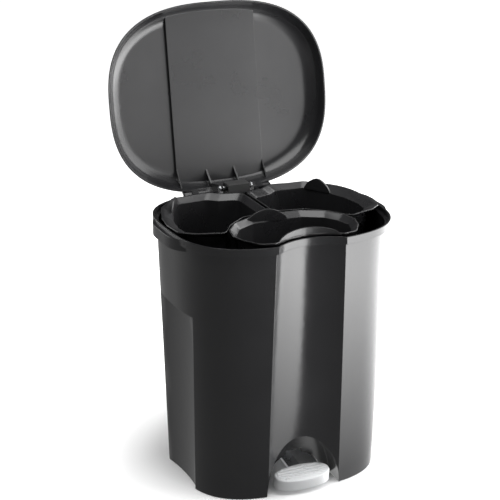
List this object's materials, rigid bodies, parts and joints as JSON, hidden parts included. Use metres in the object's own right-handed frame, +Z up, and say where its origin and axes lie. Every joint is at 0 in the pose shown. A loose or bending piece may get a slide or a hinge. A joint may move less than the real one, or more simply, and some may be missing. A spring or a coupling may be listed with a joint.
{
  "type": "pedal bin",
  "caption": "Pedal waste bin with a lobed, channelled body, a domed lid raised by a pedal lever and lift rod, and lift-out buckets inside.",
  "frame": {"origin": "on the floor, under the middle of the bin with its lid open", "axes": "+Z up, -Y the pedal side, +X to the right of a person facing the pedal"},
  "size_m": [0.429, 0.4486, 0.7987],
  "materials": {
    "body_plastic": "glossy moulded polypropylene",
    "lid_plastic": "satin moulded polypropylene",
    "bucket_plastic": "satin moulded polypropylene",
    "link_plastic": "satin moulded nylon",
    "tread_plastic": "pale grey moulded plastic",
    "zinc_steel": "zinc-plated steel",
    "foot_rubber": "matt rubber"
  },
  "bodies": {
    "base": {"outer_body": "body_plastic", "hinge_pin": "zinc_steel", "hinge_pin_rings": "zinc_steel", "rod_guides": "link_plastic", "rod_cover": "body_plastic", "cover_screws": "zinc_steel", "axle_brackets": "zinc_steel", "bracket_screws": "zinc_steel", "pedal_axle": "zinc_steel", "axle_rings": "zinc_steel", "feet": "foot_rubber"},
    "lid": {"lid": "lid_plastic", "crank_pin": "zinc_steel", "crank_pin_rings": "zinc_steel"},
    "pedal": {"pedal_lever": "zinc_steel", "pedal_tread": "tread_plastic", "tread_screws": "zinc_steel", "lever_pin": "zinc_steel", "lever_pin_rings": "zinc_steel"},
    "rod": {"push_rod": "zinc_steel", "rod_head": "link_plastic", "rod_foot": "link_plastic"},
    "bucket_left": {"bucket_left": "bucket_plastic"},
    "bucket_right": {"bucket_right": "bucket_plastic"},
    "bucket_front": {"bucket_front": "bucket_plastic"}
  },
  "joints": [
    {"name": "lid_hinge", "type": "hinge", "parent": "base", "child": "lid", "pos_m": [0, 0.117, 0.45], "axis": [1, 0, 0], "range_deg": [0, 99.15]},
    {"name": "pedal_pivot", "type": "hinge", "parent": "base", "child": "pedal", "pos_m": [0, -0.08, 0.038], "axis": [1, 0, 0], "range_deg": [-16.42, 0]},
    {"name": "rod_lift", "type": "slide", "parent": "base", "child": "rod", "axis": [0, 0, 1], "range_m": [-0.04872, 0]},
    {"name": "left_bucket_lift", "type": "slide", "parent": "base", "child": "bucket_left", "axis": [0, 0, 1], "range_m": [0, 0.45]},
    {"name": "right_bucket_lift", "type": "slide", "parent": "base", "child": "bucket_right", "axis": [0, 0, 1], "range_m": [0, 0.45]},
    {"name": "front_bucket_lift", "type": "slide", "parent": "base", "child": "bucket_front", "axis": [0, 0, 1], "range_m": [0, 0.45]}
  ],
  "couplings": [
    {"joint": "pedal_pivot", "follows": "lid_hinge", "ratio": -0.1656},
    {"joint": "rod_lift", "follows": "lid_hinge", "m_per_rad": -0.028154}
  ]
}
